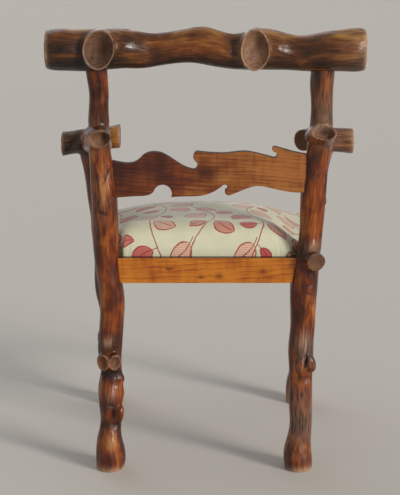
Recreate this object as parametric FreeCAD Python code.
"""Rustic oak armchair made from polished branches, with a lift-out upholstered seat.

The chair stands on Z = 0 and faces -Y. +X is the sitter's left. Sizes are in millimetres, and the
whole is moved at the end so that the origin is under the middle of its outline.
Two crooked rear posts carry a log as top rail. Two front legs end in natural forks, whose
cross heads are the hand rests, and a branch runs from each head back to the rear post as the arm.
Four sawn seat rails and a wavy back board join the legs with tenons. A loose seat frame with webbing,
stuffing and a fabric cover drops into a rebate in the seat rails.
"""

import FreeCAD
import Part
import math
import os
from collections import namedtuple

Vector = FreeCAD.Vector
Ring = namedtuple("Ring", "x y z r")

# Driving dimensions of the seat: its top and depth, and the spacing of the four legs there.
SEAT_TOP = 439.0
SEAT_DEPTH = 430.0
REAR_LEG_OUT = 196.0
FRONT_LEG_OUT = 239.0
RAIL_HEIGHT = 51.0
RAIL_THICK = 28.0
RAIL_BOTTOM = SEAT_TOP - RAIL_HEIGHT

# Rail joints: where a shoulder stands from a leg's middle, and how far its tenon goes on.
SHOULDER_GAP = 17.0
CROSS_TENON = 10.0
SIDE_TENON = 15.0
TENON_THICK = 12.0
TENON_LOW = RAIL_BOTTOM + 6.0
TENON_HIGH = SEAT_TOP - 18.0

# The rebate in the rails and the loose seat that lies in it.
REBATE_FLOOR = SEAT_TOP - 16.0
SEAT_CLEARANCE = 2.0
LEG_NOTCH = 30.0
CLOTH = 1.2
BATTEN_WIDTH = 42.0
BATTEN_THICK = 16.0
BATTEN_LOW = REBATE_FLOOR + CLOTH
BATTEN_HIGH = BATTEN_LOW + BATTEN_THICK
DOWEL_RADIUS = 4.0
DOWEL_HALF = 16.0

# Webbing in two layers, hessian over it, and the pad above.
STRAP_WIDTH = 50.0
STRAP_THICK = 2.0
STRAP_SPACING = 90.0
STRAP_LAP = 26.0
CROSS_STRAP_LOW = BATTEN_HIGH + STRAP_THICK
HESSIAN_LOW = BATTEN_HIGH + 2 * STRAP_THICK
HESSIAN_THICK = 1.0
PAD_LOW = HESSIAN_LOW + HESSIAN_THICK
PAD_CROWN = 503.5
WADDING = 4.0
HEM_WIDTH = 24.0
DUST_CLOTH_INSET = 16.0
DUST_CLOTH_THICK = 0.8

# The posts' round tenons in the top rail.
POST_TENON_RADIUS = 13.0
POST_TENON_TOP = 850.0
POST_TENON_LOW = 790.0
POST_TENON_Y = 58.0
LEFT_TENON_X = 206.5
RIGHT_TENON_X = -219.5
TOP_PEG_Z = 830.0

# The back board between the posts.
BOARD_THICK = 20.0
BOARD_Y = 18.0
BOARD_LEFT_END = 188.0
BOARD_RIGHT_END = -198.0
BOARD_TENON = 14.0
BOARD_TENON_LOW = 580.0
BOARD_TENON_HIGH = 624.0

# The arms' round tenons.
ARM_TENON_RADIUS = 11.0

# Fasteners.
PEG_RADIUS = 4.0
SCREW_RADIUS = 2.2
SCREW_HEAD_RADIUS = 4.2
SCREW_LENGTH = 34.0
BLOCK_LEG = 58.0
BLOCK_LOW = RAIL_BOTTOM + 4.0
BLOCK_HIGH = REBATE_FLOOR - 2.5
TACK_HEAD_RADIUS = 3.2
TACK_HEAD_THICK = 0.8
TACK_SHANK_RADIUS = 0.8
TACK_SHANK = 8.0
TACK_SPACING = 62.0

# How far a branch's section strays from a circle at the front and back, and how many points draw it.
OVAL_SHARE = 0.07
LOBE_SHARE = 0.05
SECTION_POINTS = 12

X_AXIS = Vector(1, 0, 0)
Y_AXIS = Vector(0, 1, 0)
Z_AXIS = Vector(0, 0, 1)

# Branches, as rings from one end to the other: the middle's place and the radius there.
LEFT_POST = (
    Ring(196, 0, 0, 27.2), Ring(194, 0, 23, 29.4), Ring(195.5, 1, 67, 24), Ring(192, 2, 100, 20.8),
    Ring(192.5, 1, 155, 23.8), Ring(190.5, -1, 203, 21.6), Ring(193, -2, 243, 24.2),
    Ring(188.5, -1, 300, 24), Ring(188, 1, 368, 24.3), Ring(195, 3, 430, 24.6), Ring(196.5, 9, 500, 25.4),
    Ring(198, 13, 560, 24.8), Ring(203, 20, 615, 22.6), Ring(205, 29, 680, 20.8),
    Ring(205, 38, 730, 18.9), Ring(203, 46, 770, 19.2), Ring(205, 52, 803, 20.6),
    Ring(206.5, 57, 832, 21.4),
)
RIGHT_POST = (
    Ring(-186, 0, 0, 27.2), Ring(-184.5, 0, 25, 28.8), Ring(-186.5, 1, 67, 23.7), Ring(-188.5, 2, 95, 22),
    Ring(-188, 1, 140, 23.8), Ring(-187.5, -1, 190, 22.6), Ring(-188, -2, 238, 24.5),
    Ring(-191, -1, 300, 23.6), Ring(-192, 1, 375, 27), Ring(-199, 4, 443, 24), Ring(-204.7, 9, 505, 22.4),
    Ring(-208.5, 14, 570, 24.4), Ring(-214, 21, 633, 23), Ring(-218, 30, 685, 23.4),
    Ring(-218, 39, 730, 21), Ring(-217, 46, 768, 21.6), Ring(-218.5, 52, 803, 21.8),
    Ring(-219.5, 57, 832, 21.6),
)
TOP_RAIL = (
    Ring(299, 62, 847, 35), Ring(288, 62, 847, 38), Ring(250, 63, 846, 39.3), Ring(200, 62, 846.5, 39.3),
    Ring(155, 60, 848.5, 37), Ring(112, 59, 845, 32.6), Ring(79, 60, 848, 30.5), Ring(34, 62, 855, 32.3),
    Ring(-10, 64, 851, 34.6), Ring(-52, 63, 843.5, 33.2), Ring(-92, 61, 847, 38.4),
    Ring(-129, 61, 846, 37), Ring(-172, 60, 840.5, 33.8), Ring(-218, 62, 843, 37.3),
    Ring(-262, 63, 845.5, 39.5), Ring(-288, 62, 846, 39.5), Ring(-296, 62, 846, 37.5),
)
LEFT_FRONT_LEG = (
    Ring(224, -430, 0, 26.5), Ring(223, -431, 26, 28), Ring(221, -430, 78, 22.5),
    Ring(223, -427, 150, 24), Ring(222, -428, 205, 22.5), Ring(228, -431, 265, 25),
    Ring(231, -432, 330, 23), Ring(237, -430, 410, 24), Ring(244, -431, 490, 24.5),
    Ring(252, -431, 555, 25), Ring(257, -430, 585, 27), Ring(259, -430, 606, 27.5),
)
RIGHT_FRONT_LEG = (
    Ring(-211, -430, 0, 26.5), Ring(-211, -431, 28, 27.5), Ring(-214, -429, 82, 23),
    Ring(-216, -427, 145, 23.5), Ring(-221, -429, 210, 23), Ring(-226, -432, 270, 25),
    Ring(-232, -431, 335, 23.4), Ring(-237, -430, 410, 24), Ring(-245, -430, 495, 24.2),
    Ring(-253, -431, 560, 25), Ring(-258, -430, 588, 26.5), Ring(-260, -430, 606, 27),
)
LEFT_HEAD = (
    Ring(323, -430, 603.5, 28.5), Ring(302, -430, 606, 27.3), Ring(272, -430, 610, 28),
    Ring(240, -430, 614, 27), Ring(214, -431, 618, 26.2), Ring(193, -431, 621, 27),
)
RIGHT_HEAD = (
    Ring(-328, -431, 609.5, 27.6), Ring(-305, -431, 611, 26.6), Ring(-275, -430, 612, 27),
    Ring(-246, -429, 614, 27), Ring(-226, -424, 615, 24),
)
LEFT_ARM = (
    Ring(257, -424, 611, 21), Ring(254, -390, 614, 23.5), Ring(245, -320, 622, 25),
    Ring(235, -240, 635, 22.5), Ring(222, -160, 645, 23.5), Ring(214, -90, 650, 22),
    Ring(207, -30, 654, 23), Ring(205, 16, 656, 21),
)
RIGHT_ARM = (
    Ring(-263, -424, 612, 21), Ring(-261, -390, 615, 23), Ring(-252, -310, 625, 23),
    Ring(-243, -235, 634, 25), Ring(-232, -165, 642, 22.5), Ring(-225, -90, 650, 23.5),
    Ring(-219, -30, 655, 22), Ring(-216, 16, 657, 21),
)

# The pad's crown in side view: how far forward of the rails' back middle line, and its height there.
PAD_PROFILE = (
    (2, 458), (6, 466), (16, 476), (36, 485), (70, 492), (120, 498.5), (190, PAD_CROWN),
    (250, 501), (305, 493), (350, 483.5), (390, 471.5), (414, 462), (428, 454),
)


def side_vectors(axis):
    """Two unit vectors square to a branch's axis. The first lies in the plane of the chair's back."""
    if abs(axis.z) > 0.7:
        return X_AXIS, Y_AXIS
    if abs(axis.x) > 0.7:
        return Z_AXIS, Y_AXIS
    return X_AXIS, Z_AXIS


def uneven_section(ring, axis, turn):
    """A closed smooth curve round one ring of a branch.

    Across the first side vector it is as wide as the ring. Towards the second it is flattened or
    swollen, more on one side than on the other, by shares that turn decides.
    """
    u, v = side_vectors(axis)
    centre = Vector(ring.x, ring.y, ring.z)
    points = []
    for k in range(SECTION_POINTS):
        a = 2 * math.pi * k / SECTION_POINTS
        swell = OVAL_SHARE * math.cos(turn) + LOBE_SHARE * math.sin(a + turn)
        r = ring.r * (1 + swell * math.sin(a) ** 2)
        points.append(centre + u * (r * math.cos(a)) + v * (r * math.sin(a)))
    curve = Part.BSplineCurve()
    curve.interpolate(points, PeriodicFlag=True)
    return Part.Wire([curve.toShape()])


def branch(rings, axis, turn_step):
    """A grown branch: a loft through uneven sections, whose unevenness turns along the branch."""
    wires = [uneven_section(ring, axis, n * turn_step) for n, ring in enumerate(rings)]
    return Part.makeLoft(wires, True, False)


def oval_wire(centre, across, up, half_width, half_height):
    """An ellipse round a stub: half_width along across and half_height along up."""
    side, top = centre + across * half_width, centre + up * half_height
    if abs(half_width - half_height) < 0.01:
        curve = Part.Circle(centre, across.cross(up), half_width)
    elif half_width > half_height:
        curve = Part.Ellipse(side, top, centre)
    else:
        curve = Part.Ellipse(top, side, centre)
    return Part.Wire([curve.toShape()])


def sawn_stub(root, direction, reach, half_width, half_height, dish, flare=1.3, lean=0.0):
    """The sawn-off stub of a side branch, with its end hollowed to a shallow dish inside a rim.

    root lies on the member's middle line and reach is how far the sawn end stands from it. flare is
    how much wider the stub is at its root, and lean tips the oval's top towards -X.
    """
    n = Vector(*direction).normalize()
    across = Vector(-lean, 0, 1).cross(n).normalize()
    up = n.cross(across)
    start = Vector(*root)

    def oval(distance, scale_w, scale_h):
        """One oval across the stub, at a distance from its root."""
        return oval_wire(start + n * distance, across, up, half_width * scale_w, half_height * scale_h)

    grow = flare - 1
    body_steps = ((0.15, 1.0), (0.5, 0.5), (0.8, 0.12), (1.0, 0.0))
    stub = Part.makeLoft([oval(reach * t, 1 + grow * s, 1 + grow * s) for t, s in body_steps], True, False)
    bowl_steps = ((reach + 0.6, 0.9), (reach, 0.88), (reach - dish * 0.7, 0.62), (reach - dish, 0.3))
    return stub.cut(Part.makeLoft([oval(t, s, s) for t, s in bowl_steps], True, False))


def lobe(centre, direction, radius, half_length):
    """A rounded swelling: half an ellipse turned about the line along direction through its centre."""
    ellipse = Part.Ellipse(Vector(0, 0, half_length), Vector(radius, 0, 0), Vector(0, 0, 0))
    arc = Part.ArcOfEllipse(ellipse, 0, math.pi).toShape()
    chord = Part.LineSegment(Vector(0, 0, -half_length), Vector(0, 0, half_length)).toShape()
    body = Part.Face(Part.Wire([arc, chord])).revolve(Vector(0, 0, 0), Z_AXIS, 360)
    body.Placement = FreeCAD.Placement(Vector(*centre), FreeCAD.Rotation(Z_AXIS, Vector(*direction)))
    return body


def rod(start, end, radius):
    """A round rod from one point to another."""
    along = Vector(*end) - Vector(*start)
    return Part.makeCylinder(radius, along.Length, Vector(*start), along)


def box(x_low, x_high, y_low, y_high, z_low, z_high):
    """A box between two corners."""
    return Part.makeBox(x_high - x_low, y_high - y_low, z_high - z_low, Vector(x_low, y_low, z_low))


def main_solid(shape):
    """The biggest solid of a cut, which is the member itself without offcuts."""
    return max(shape.Solids, key=lambda solid: solid.Volume)


def side_half_width(y):
    """Distance of a side rail's middle line from the chair's middle plane, at a depth y."""
    return REAR_LEG_OUT + (FRONT_LEG_OUT - REAR_LEG_OUT) * -y / SEAT_DEPTH


def raw_left_post():
    """The left rear post before its joints are cut: a branch with sawn stubs, a long knot and a bump."""
    post = branch(LEFT_POST, Z_AXIS, 0.6)
    knots = (
        sawn_stub((211, 29, 687), (-0.2, 1, -0.22), 39, 22, 19.5, 7, 1.15),
        sawn_stub((193, -1, 232), (0.46, 1, -0.1), 32, 12.8, 17.5, 5, 1.1),
        sawn_stub((193, -1, 232), (-0.42, 1, -0.1), 32, 12, 16.5, 5, 1.1),
        lobe((178, 12, 119), (-0.12, 0, 1), 9.5, 23),
        lobe((174, 4, 184), (0.1, 0, 1), 7, 10),
    )
    return post.multiFuse(list(knots))


def raw_right_post():
    """The right rear post before its joints are cut: a branch with sawn stubs and a pair of lobes."""
    post = branch(RIGHT_POST, Z_AXIS, 0.75)
    knots = (
        sawn_stub((-219, 28, 677), (-0.24, 0.85, 0.36), 41, 23, 19, 7, 1.15),
        sawn_stub((-201, 3, 436), (-0.3, 1, 0), 40, 18.5, 18.5, 2, 1.1),
        sawn_stub((-208, 14, 552), (-1, 0.3, 0), 26, 6, 8, 3),
        lobe((-188, 17, 219), (-0.15, 0.2, 1), 11.5, 20),
        lobe((-208, 11, 219), (0.3, 0.15, 1), 11, 22),
    )
    return post.multiFuse(list(knots))


def raw_top_rail():
    """The top log before its mortises are cut, with two large oval stubs on its back."""
    log = branch(TOP_RAIL, X_AXIS, 0.55)
    stubs = (
        sawn_stub((199, 62, 848), (-0.03, 1, 0.02), 53, 28.5, 38, 9, 1.02, 0.12),
        sawn_stub((-88, 62, 848.5), (-0.02, 1, 0), 53, 27, 38, 10, 1.02, 0.08),
    )
    return log.multiFuse(list(stubs))


def raw_left_front_leg():
    """The left front leg and its cross head, one natural fork."""
    leg = branch(LEFT_FRONT_LEG, Z_AXIS, 0.7)
    parts = (
        branch(LEFT_HEAD, X_AXIS, 0.5),
        sawn_stub((228, -431, 262), (0.5, -1, -0.1), 32, 12, 17, 4, 1.15),
        sawn_stub((223, -428, 155), (1, 0.1, 0.1), 29, 9, 12, 3),
    )
    return leg.multiFuse(list(parts))


def raw_right_front_leg():
    """The right front leg and its cross head, whose inner end is sawn facing back."""
    leg = branch(RIGHT_FRONT_LEG, Z_AXIS, 0.55)
    parts = (
        branch(RIGHT_HEAD, X_AXIS, 0.5),
        sawn_stub((-237, -428, 615), (0.62, 0.78, 0), 38, 25, 25, 3, 1.04),
        sawn_stub((-227, -431, 282), (-0.3, -1, 0), 31, 13, 16, 4, 1.15),
        sawn_stub((-215, -428, 118), (-0.8, -0.7, 0), 28, 9, 13, 3),
    )
    return leg.multiFuse(list(parts))


def raw_left_arm():
    """The left arm branch, running into the head and the post."""
    return branch(LEFT_ARM, Y_AXIS, 0.6).fuse(sawn_stub((236, -236, 634), (0.8, 0.15, 0.6), 29, 12, 12, 3))


def raw_right_arm():
    """The right arm branch, running into the head and the post."""
    return branch(RIGHT_ARM, Y_AXIS, 0.8).fuse(sawn_stub((-228, -120, 647), (-0.9, 0.1, 0.4), 30, 11, 12, 3))


def back_board():
    """The wavy back board with its hooks and notches, and a tenon at each end."""

    def point(x, z):
        """A point of the outline, on the board's front face."""
        return Vector(x, BOARD_Y - BOARD_THICK / 2, z)

    def curve(*pairs):
        """A smooth run of the outline."""
        spline = Part.BSplineCurve()
        spline.interpolate([point(x, z) for x, z in pairs])
        return spline.toShape()

    def arc(start, middle, end):
        """A round stretch of the outline."""
        return Part.Arc(point(*start), point(*middle), point(*end)).toShape()

    def line(start, end):
        """A straight stretch of the outline."""
        return Part.LineSegment(point(*start), point(*end)).toShape()

    edges = [
        curve((BOARD_LEFT_END, 633), (164, 628), (144, 627.5), (127, 637)),
        curve((127, 637), (110, 648), (94, 648.5), (60, 631), (24, 615)),
        arc((24, 615), (17.5, 622), (21, 631)),
        arc((21, 631), (25.5, 640), (18, 650)),
        curve((18, 650), (-12, 647), (-42, 647), (-72, 650), (-98, 646), (-128, 638)),
        arc((-128, 638), (-135.5, 643.5), (-130, 649)),
        arc((-130, 649), (-126.5, 655), (-133, 659)),
        curve((-133, 659), (-150, 654), (-170, 648.5), (BOARD_RIGHT_END, 644)),
        line((BOARD_RIGHT_END, 644), (BOARD_RIGHT_END, 572)),
        curve((BOARD_RIGHT_END, 572), (-155, 572.5), (-124, 579), (-98, 583), (-72, 576), (-46, 565.5)),
        arc((-46, 565.5), (-37.5, 567), (-36, 575)),
        arc((-36, 575), (-39.5, 583.5), (-31, 584)),
        curve((-31, 584), (-18, 574.5), (0, 566.5), (28, 563), (68, 561)),
        arc((68, 561), (84, 585.5), (102, 572)),
        curve((102, 572), (112, 565.5), (130, 563.5), (155, 562), (BOARD_LEFT_END, 558)),
        line((BOARD_LEFT_END, 558), (BOARD_LEFT_END, 633)),
    ]
    board = Part.Face(Part.Wire(edges)).extrude(Y_AXIS * BOARD_THICK)
    half = TENON_THICK / 2
    section = (BOARD_Y - half, BOARD_Y + half, BOARD_TENON_LOW, BOARD_TENON_HIGH)
    left_tenon = box(BOARD_LEFT_END - 1, BOARD_LEFT_END + BOARD_TENON, *section)
    right_tenon = box(BOARD_RIGHT_END - BOARD_TENON, BOARD_RIGHT_END + 1, *section)
    return board.multiFuse([left_tenon, right_tenon]).removeSplitter()


def seat_plan(inset, z_low, z_high):
    """A block with the seat's outline, inset from the rails' middle lines."""
    y_back, y_front = -inset, -SEAT_DEPTH + inset
    slope = (FRONT_LEG_OUT - REAR_LEG_OUT) / SEAT_DEPTH
    inset_x = inset * math.sqrt(1 + slope**2)
    back, front = side_half_width(y_back) - inset_x, side_half_width(y_front) - inset_x
    corners = [Vector(back, y_back, z_low), Vector(front, y_front, z_low)]
    corners += [Vector(-front, y_front, z_low), Vector(-back, y_back, z_low)]
    return Part.Face(Part.makePolygon(corners + corners[:1])).extrude(Z_AXIS * (z_high - z_low))


def leg_notches(radius):
    """Four upright cylinders round the legs, which the seat is cut back from."""
    height = PAD_CROWN + 5 - RAIL_BOTTOM
    places = [(side * REAR_LEG_OUT, 0) for side in (1, -1)]
    places += [(side * FRONT_LEG_OUT, -SEAT_DEPTH) for side in (1, -1)]
    return [Part.makeCylinder(radius, height, Vector(x, y, RAIL_BOTTOM)) for x, y in places]


def seat_block(inset, z_low, z_high):
    """A slice of the loose seat, inset from its outer face and notched round the legs."""
    return seat_plan(SEAT_CLEARANCE + inset, z_low, z_high).cut(leg_notches(LEG_NOTCH + inset))


def sawn_rail(half_length, tenon):
    """A seat rail along X with a tenon at each end, its top outer edge on the seat's top."""
    reach, half = half_length + tenon, TENON_THICK / 2
    board = box(-half_length, half_length, -RAIL_THICK / 2, RAIL_THICK / 2, RAIL_BOTTOM, SEAT_TOP)
    return board.fuse(box(-reach, reach, -half, half, TENON_LOW, TENON_HIGH)).removeSplitter()


def seat_rails():
    """The four seat rails, rebated along their inner top edges."""
    back = sawn_rail(REAR_LEG_OUT - SHOULDER_GAP, CROSS_TENON)
    front = sawn_rail(FRONT_LEG_OUT - SHOULDER_GAP, CROSS_TENON)
    front.translate(Vector(0, -SEAT_DEPTH, 0))
    rails = {"seat_rail_back": back, "seat_rail_front": front}
    spread = FRONT_LEG_OUT - REAR_LEG_OUT
    length = math.hypot(SEAT_DEPTH, spread)
    for name, side in (("seat_rail_left", 1), ("seat_rail_right", -1)):
        rail = sawn_rail(length / 2 - SHOULDER_GAP, SIDE_TENON)
        rail.rotate(Vector(0, 0, 0), Z_AXIS, math.degrees(math.atan2(-SEAT_DEPTH, side * spread)))
        rail.translate(Vector(side * (REAR_LEG_OUT + FRONT_LEG_OUT) / 2, -SEAT_DEPTH / 2, 0))
        rails[name] = rail
    rebate = seat_plan(0, REBATE_FLOOR, SEAT_TOP + 1)
    return {name: main_solid(rail.cut(rebate)) for name, rail in rails.items()}


def corner_block(side, y_leg, toward_middle):
    """A triangular glue block in one inner corner of the rails, cut back from the leg."""
    y_face = y_leg + toward_middle * RAIL_THICK / 2
    slope = side_half_width(-1) - side_half_width(0)
    x_face = side_half_width(y_face) - RAIL_THICK / 2 * math.sqrt(1 + slope**2)
    y_end = y_face + toward_middle * BLOCK_LEG
    x_end = side_half_width(y_end) - RAIL_THICK / 2 * math.sqrt(1 + slope**2)
    corners = [Vector(side * x_face, y_face, BLOCK_LOW), Vector(side * x_end, y_end, BLOCK_LOW)]
    corners.append(Vector(side * (x_face - BLOCK_LEG), y_face, BLOCK_LOW))
    block = Part.Face(Part.makePolygon(corners + corners[:1])).extrude(Z_AXIS * (BLOCK_HIGH - BLOCK_LOW))
    return main_solid(block.cut(leg_notches(LEG_NOTCH - 1)))


def wood_screw(head, direction):
    """A slotted countersunk wood screw, from the middle of its head along a direction."""
    n = Vector(*direction).normalize()
    start = Vector(*head)
    sink = SCREW_HEAD_RADIUS - SCREW_RADIUS
    cone = Part.makeCone(SCREW_HEAD_RADIUS, SCREW_RADIUS, sink, start, n)
    tip = start + n * (SCREW_LENGTH - 6)
    shank = Part.makeCylinder(SCREW_RADIUS, SCREW_LENGTH - 6 - sink, start + n * sink, n)
    point = Part.makeCone(SCREW_RADIUS, 0.4, 6, tip, n)
    slot = Part.makeBox(2 * SCREW_HEAD_RADIUS + 1, 1, 0.8, Vector(-SCREW_HEAD_RADIUS - 0.5, -0.5, 0))
    slot.Placement = FreeCAD.Placement(start, FreeCAD.Rotation(Z_AXIS, n))
    return cone.multiFuse([shank, point]).cut(slot)


def block_screws():
    """Two screws in each corner block, one into each rail that it touches."""
    screws, bores = [], []
    offset = RAIL_THICK / 2 + 13
    z_cross, z_side = BLOCK_LOW + 9, BLOCK_LOW + 19
    slope = side_half_width(-1) - side_half_width(0)
    for side in (1, -1):
        for y_leg, way in ((0, -1), (-SEAT_DEPTH, 1)):
            x_cross = side * (side_half_width(y_leg) - RAIL_THICK / 2 - 40)
            y_side = y_leg + way * (RAIL_THICK / 2 + 42)
            x_side = side * (side_half_width(y_side) - offset)
            for head, direction in (
                ((x_cross, y_leg + way * offset, z_cross), (0, -way, 0)),
                ((x_side, y_side, z_side), (side, slope, 0)),
            ):
                screws.append(wood_screw(head, direction))
                n = Vector(*direction).normalize()
                mouth = Vector(*head) - n * BLOCK_LEG
                bores.append(Part.makeCylinder(SCREW_HEAD_RADIUS + 0.3, BLOCK_LEG, mouth, n))
    return screws, bores


def rail_peg_bores(side):
    """Bores through a rear post and a front leg for the pegs of the side rail and the front rail."""
    z = (TENON_LOW + TENON_HIGH) / 2
    x_front = side * (FRONT_LEG_OUT - SHOULDER_GAP + CROSS_TENON / 2)
    post_bores = [rod((side * 191, -9.5, z), (side * 230, -9.5, z), PEG_RADIUS)]
    leg_bores = [
        rod((side * 233.5, -SEAT_DEPTH + 10, z), (side * 275, -SEAT_DEPTH + 10, z), PEG_RADIUS),
        rod((x_front, -SEAT_DEPTH + 7, z - 3), (x_front, -SEAT_DEPTH - 40, z - 3), PEG_RADIUS),
    ]
    return post_bores, leg_bores


def arm_tenons(side):
    """The round tenons at the front and rear ends of one arm."""
    left = (((257, -434, 611), (254.5, -396, 613.5)), ((207.5, -18, 654.5), (205, 30, 657)))
    right = (((-263, -434, 612), (-261.5, -396, 614.5)), ((-218.5, -18, 655), (-216, 30, 658)))
    return [rod(start, end, ARM_TENON_RADIUS) for start, end in (left if side > 0 else right)]


def arm_peg_bores(side):
    """Bores for the pegs that lock an arm's tenons: crosswise in the post, upright in the head."""
    x_head, z_head, x_post, z_post = (257, 596, 192, 656) if side > 0 else (-262.5, 597, -203, 657)
    post_bore = rod((x_post, 14, z_post), (x_post + side * 48, 14, z_post), PEG_RADIUS)
    head_bore = rod((x_head, -418, z_head), (x_head, -418, z_head + 54), PEG_RADIUS)
    return [post_bore], [head_bore]


def post_tenon(x):
    """The round tenon on top of a post."""
    return rod((x, POST_TENON_Y, POST_TENON_LOW), (x, POST_TENON_Y, POST_TENON_TOP), POST_TENON_RADIUS)


def top_rail_peg_bore(x):
    """The bore from the front of the top rail through a post's tenon."""
    return rod((x, 10, TOP_PEG_Z), (x, POST_TENON_Y + 18, TOP_PEG_Z), PEG_RADIUS)


def flush_pegs(bores, host):
    """Pegs that fill their bores and end flush with the skin of the uncut member."""
    return [main_solid(bore.common(host)) for bore in bores]


def wooden_frame():
    """Every piece of the wooden frame, cut to fit its neighbours."""
    rail_log = raw_top_rail()
    board, rails = back_board(), seat_rails()
    screws, screw_bores = block_screws()
    pegs = {"seat_rail_pegs": [], "arm_pegs": [], "top_rail_pegs": []}
    rail_cuts, nodes = [], {}
    for side, word, tenon_x, raw_post, raw_leg, raw_arm in (
        (1, "left", LEFT_TENON_X, raw_left_post(), raw_left_front_leg(), raw_left_arm()),
        (-1, "right", RIGHT_TENON_X, raw_right_post(), raw_right_front_leg(), raw_right_arm()),
    ):
        post_bores, leg_bores = rail_peg_bores(side)
        arm_post_bores, arm_leg_bores = arm_peg_bores(side)
        tenon, rail_bore = post_tenon(tenon_x), top_rail_peg_bore(tenon_x)
        pegs["seat_rail_pegs"] += flush_pegs(post_bores, raw_post) + flush_pegs(leg_bores, raw_leg)
        pegs["arm_pegs"] += flush_pegs(arm_post_bores, raw_post) + flush_pegs(arm_leg_bores, raw_leg)
        pegs["top_rail_pegs"] += flush_pegs([rail_bore], rail_log)
        arm_ends = arm_tenons(side)
        arm = main_solid(raw_arm.cut([raw_post, raw_leg])).multiFuse(arm_ends)
        post = main_solid(raw_post.cut(rail_log)).fuse(tenon)
        joint_cuts = [rails["seat_rail_back"], rails[f"seat_rail_{word}"], board, arm_ends[1], rail_bore]
        leg_cuts = [rails["seat_rail_front"], rails[f"seat_rail_{word}"], arm_ends[0]]
        nodes[f"rear_post_{word}"] = main_solid(post.cut(joint_cuts + post_bores + arm_post_bores))
        nodes[f"front_leg_{word}"] = main_solid(raw_leg.cut(leg_cuts + leg_bores + arm_leg_bores))
        nodes[f"arm_{word}"] = main_solid(arm.cut(arm_post_bores + arm_leg_bores))
        rail_cuts += post_bores + leg_bores + [tenon, rail_bore]
        for place, y_leg, way in (("back", 0, -1), ("front", -SEAT_DEPTH, 1)):
            block = corner_block(side, y_leg, way)
            nodes[f"corner_block_{place}_{word}"] = main_solid(block.cut(screws + screw_bores))
    nodes["top_rail"] = main_solid(rail_log.cut(rail_cuts))
    nodes["back_board"] = main_solid(board)
    for name, rail in rails.items():
        nodes[name] = main_solid(rail.cut(rail_cuts + screws))
    nodes["corner_block_screws"] = Part.makeCompound(screws)
    for name, group in pegs.items():
        nodes[name] = Part.makeCompound(group)
    return nodes


def pad_section(y, crown, inset):
    """The pad's outline across the seat at a depth y, up to a height crown at its middle.

    The base is flat, each side swells a little and leans in, a rolled shoulder follows, and a long arc
    crowns the middle. Every height is a share of the crown's, so thin sections keep the same form.
    """
    a = side_half_width(y) - SEAT_CLEARANCE - inset
    height = crown - PAD_LOW

    def at(across, up):
        """A point of this section, by shares of its half width and height."""
        return Vector(a * across, y, PAD_LOW + height * up)

    def half_section(side):
        """One side's swelling edge and shoulder, from the base up."""
        edge = Part.Arc(at(side, 0), at(side * 1.006, 0.07), at(side * 0.995, 0.14))
        shoulder = Part.Arc(at(side * 0.995, 0.14), at(side * 0.92, 0.4), at(side * 0.72, 0.66))
        return edge.toShape(), shoulder.toShape()

    top = Part.Arc(at(0.72, 0.66), at(0, 1), at(-0.72, 0.66)).toShape()
    base = Part.LineSegment(at(-1, 0), at(1, 0)).toShape()
    edge, shoulder = half_section(1)
    far_edge, far_shoulder = half_section(-1)
    return Part.Wire([edge, shoulder, top, far_shoulder, far_edge, base])


def pad_form(inset):
    """The crowned form of the pad, inset from the cover's outer face and notched round the legs."""
    middle = -SEAT_DEPTH / 2
    squeeze = 1 - inset / (SEAT_DEPTH / 2 - SEAT_CLEARANCE)
    sections = []
    for forward, crown in PAD_PROFILE:
        sections.append(pad_section(middle - (forward + middle) * squeeze, crown - inset, inset))
    return Part.makeLoft(sections, True, False).cut(leg_notches(LEG_NOTCH + inset))


def seat_battens():
    """The loose seat's frame: back and front battens with the side battens between them."""
    outline = seat_block(CLOTH, BATTEN_LOW, BATTEN_HIGH)
    ring = outline.cut(seat_plan(SEAT_CLEARANCE + CLOTH + BATTEN_WIDTH, BATTEN_LOW - 1, BATTEN_HIGH + 1))
    back_line = -SEAT_CLEARANCE - CLOTH - BATTEN_WIDTH
    front_line = -SEAT_DEPTH - back_line
    wide, heights = 300, (BATTEN_LOW - 1, BATTEN_HIGH + 1)
    regions = {
        "seat_batten_back": box(-wide, wide, back_line, 10, *heights),
        "seat_batten_front": box(-wide, wide, -SEAT_DEPTH - 10, front_line, *heights),
        "seat_batten_left": box(0, wide, front_line, back_line, *heights),
        "seat_batten_right": box(-wide, 0, front_line, back_line, *heights),
    }
    return {name: main_solid(ring.common(region)) for name, region in regions.items()}


def batten_dowels():
    """Two dowels across each corner joint of the loose frame."""
    z = (BATTEN_LOW + BATTEN_HIGH) / 2
    joint = SEAT_CLEARANCE + CLOTH + BATTEN_WIDTH
    dowels = []
    for side in (1, -1):
        for y in (-joint, -SEAT_DEPTH + joint):
            for step in (20, 34):
                x = side * (side_half_width(y) - step)
                dowels.append(rod((x, y - DOWEL_HALF, z), (x, y + DOWEL_HALF, z), DOWEL_RADIUS))
    return dowels


def tack(x, y, z_head, up):
    """A tack with a flat head; its shank points up or down from the head's inner face."""
    way = 1 if up else -1
    head = rod((x, y, z_head), (x, y, z_head - way * TACK_HEAD_THICK), TACK_HEAD_RADIUS)
    shank = Part.makeCone(TACK_SHANK_RADIUS, 0.3, TACK_SHANK, Vector(x, y, z_head), Z_AXIS * way)
    return head.fuse(shank)


def underside_tacks():
    """Tacks round the underside that hold the dust cloth and the cover's hem."""
    inset = SEAT_CLEARANCE + 20
    z = REBATE_FLOOR - DUST_CLOTH_THICK
    y_back, y_front = -inset, -SEAT_DEPTH + inset
    tacks = []
    for y in (y_back, y_front):
        reach = side_half_width(y) - 46
        count = int(2 * reach // TACK_SPACING)
        tacks += [tack(reach * (2 * k / count - 1), y, z, True) for k in range(count + 1)]
    count = int((y_back - y_front - 80) // TACK_SPACING)
    for k in range(count + 1):
        y = y_back - 40 - (y_back - y_front - 80) * k / count
        tacks += [tack(side * (side_half_width(y) - inset), y, z, True) for side in (1, -1)]
    return tacks


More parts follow.
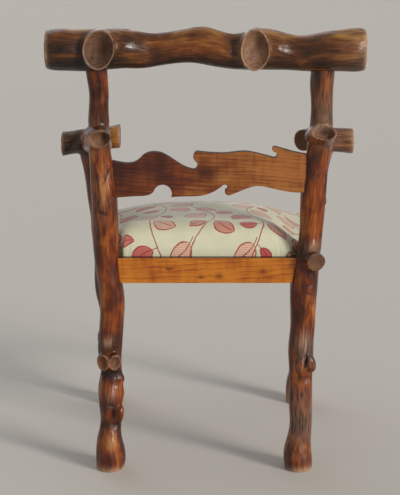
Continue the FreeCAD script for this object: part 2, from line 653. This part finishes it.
def webbing():
    """Straps front to back and, over them, straps across, with two tacks at every end."""
    half = STRAP_WIDTH / 2
    lap = SEAT_CLEARANCE + CLOTH + STRAP_LAP - BATTEN_WIDTH / 2
    lengthwise, crosswise, tacks = [], [], []
    for k in (-1, 0, 1):
        x, y = k * STRAP_SPACING, -SEAT_DEPTH / 2 + k * STRAP_SPACING
        lengthwise.append(box(x - half, x + half, -SEAT_DEPTH + lap, -lap, BATTEN_HIGH, CROSS_STRAP_LOW))
        reach = side_half_width(y) - lap - 4
        crosswise.append(box(-reach, reach, y - half, y + half, CROSS_STRAP_LOW, HESSIAN_LOW))
        for shift in (-14, 14):
            ends = (-lap - 12, -SEAT_DEPTH + lap + 12)
            tacks += [tack(x + shift, y_end, CROSS_STRAP_LOW, False) for y_end in ends]
            tacks += [tack(side * (reach - 12), y + shift, HESSIAN_LOW, False) for side in (1, -1)]
    return lengthwise, crosswise, tacks


def seat_cover():
    """The fabric cover: over the pad, down the battens' sides, and turned under as a hem."""
    outer = seat_block(0, REBATE_FLOOR, PAD_LOW).fuse(pad_form(0))
    inner = seat_block(CLOTH, BATTEN_LOW, PAD_LOW).fuse(pad_form(CLOTH))
    opening = seat_block(HEM_WIDTH, REBATE_FLOOR - 1, BATTEN_LOW + 1)
    return outer.cut([inner, opening])


def loose_seat():
    """Every piece of the lift-out seat."""
    battens, dowels = seat_battens(), batten_dowels()
    lengthwise, crosswise, strap_tacks = webbing()
    hem_tacks = underside_tacks()
    fixings = dowels + strap_tacks + hem_tacks
    nodes = {name: main_solid(batten.cut(fixings)) for name, batten in battens.items()}
    nodes["seat_batten_dowels"] = Part.makeCompound(dowels)
    nodes["webbing_lengthwise"] = Part.makeCompound([strap.cut(strap_tacks) for strap in lengthwise])
    nodes["webbing_crosswise"] = Part.makeCompound([strap.cut(strap_tacks) for strap in crosswise])
    nodes["webbing_tacks"] = Part.makeCompound(strap_tacks)
    nodes["hessian"] = main_solid(seat_block(12, HESSIAN_LOW, PAD_LOW).cut(strap_tacks))
    outer_pad, inner_pad = pad_form(CLOTH), pad_form(CLOTH + WADDING)
    nodes["seat_stuffing"] = main_solid(inner_pad)
    nodes["seat_wadding"] = main_solid(outer_pad.cut(inner_pad))
    nodes["seat_cover"] = main_solid(seat_cover().cut(hem_tacks))
    dust_cloth = seat_block(DUST_CLOTH_INSET, REBATE_FLOOR - DUST_CLOTH_THICK, REBATE_FLOOR)
    nodes["dust_cloth"] = main_solid(dust_cloth.cut(hem_tacks))
    nodes["seat_tacks"] = Part.makeCompound(hem_tacks)
    return nodes


def middle_of_footprint(shapes):
    """The middle of the whole chair's outline in X and Y, from exact bounding boxes."""
    boxes = [shape.optimalBoundingBox(False, False) for shape in shapes]
    x = (min(b.XMin for b in boxes) + max(b.XMax for b in boxes)) / 2
    y = (min(b.YMin for b in boxes) + max(b.YMax for b in boxes)) / 2
    return Vector(x, y, 0)


def main():
    """Builds the chair, moves its origin under its middle, and writes one STEP file per piece."""
    nodes = wooden_frame()
    nodes.update(loose_seat())
    middle = middle_of_footprint([nodes[name] for name in nodes if not name.startswith("seat_")])
    print(f"origin moved by {-middle.x:.2f}, {-middle.y:.2f}")
    os.makedirs("parts", exist_ok=True)
    for name, shape in nodes.items():
        shape.translate(-middle)
        shape.exportStep(f"parts/{name}.step")
        print(f"{name}: {len(shape.Solids)} solids, {shape.Volume / 1000:.1f} cm3, valid {shape.isValid()}")


main()
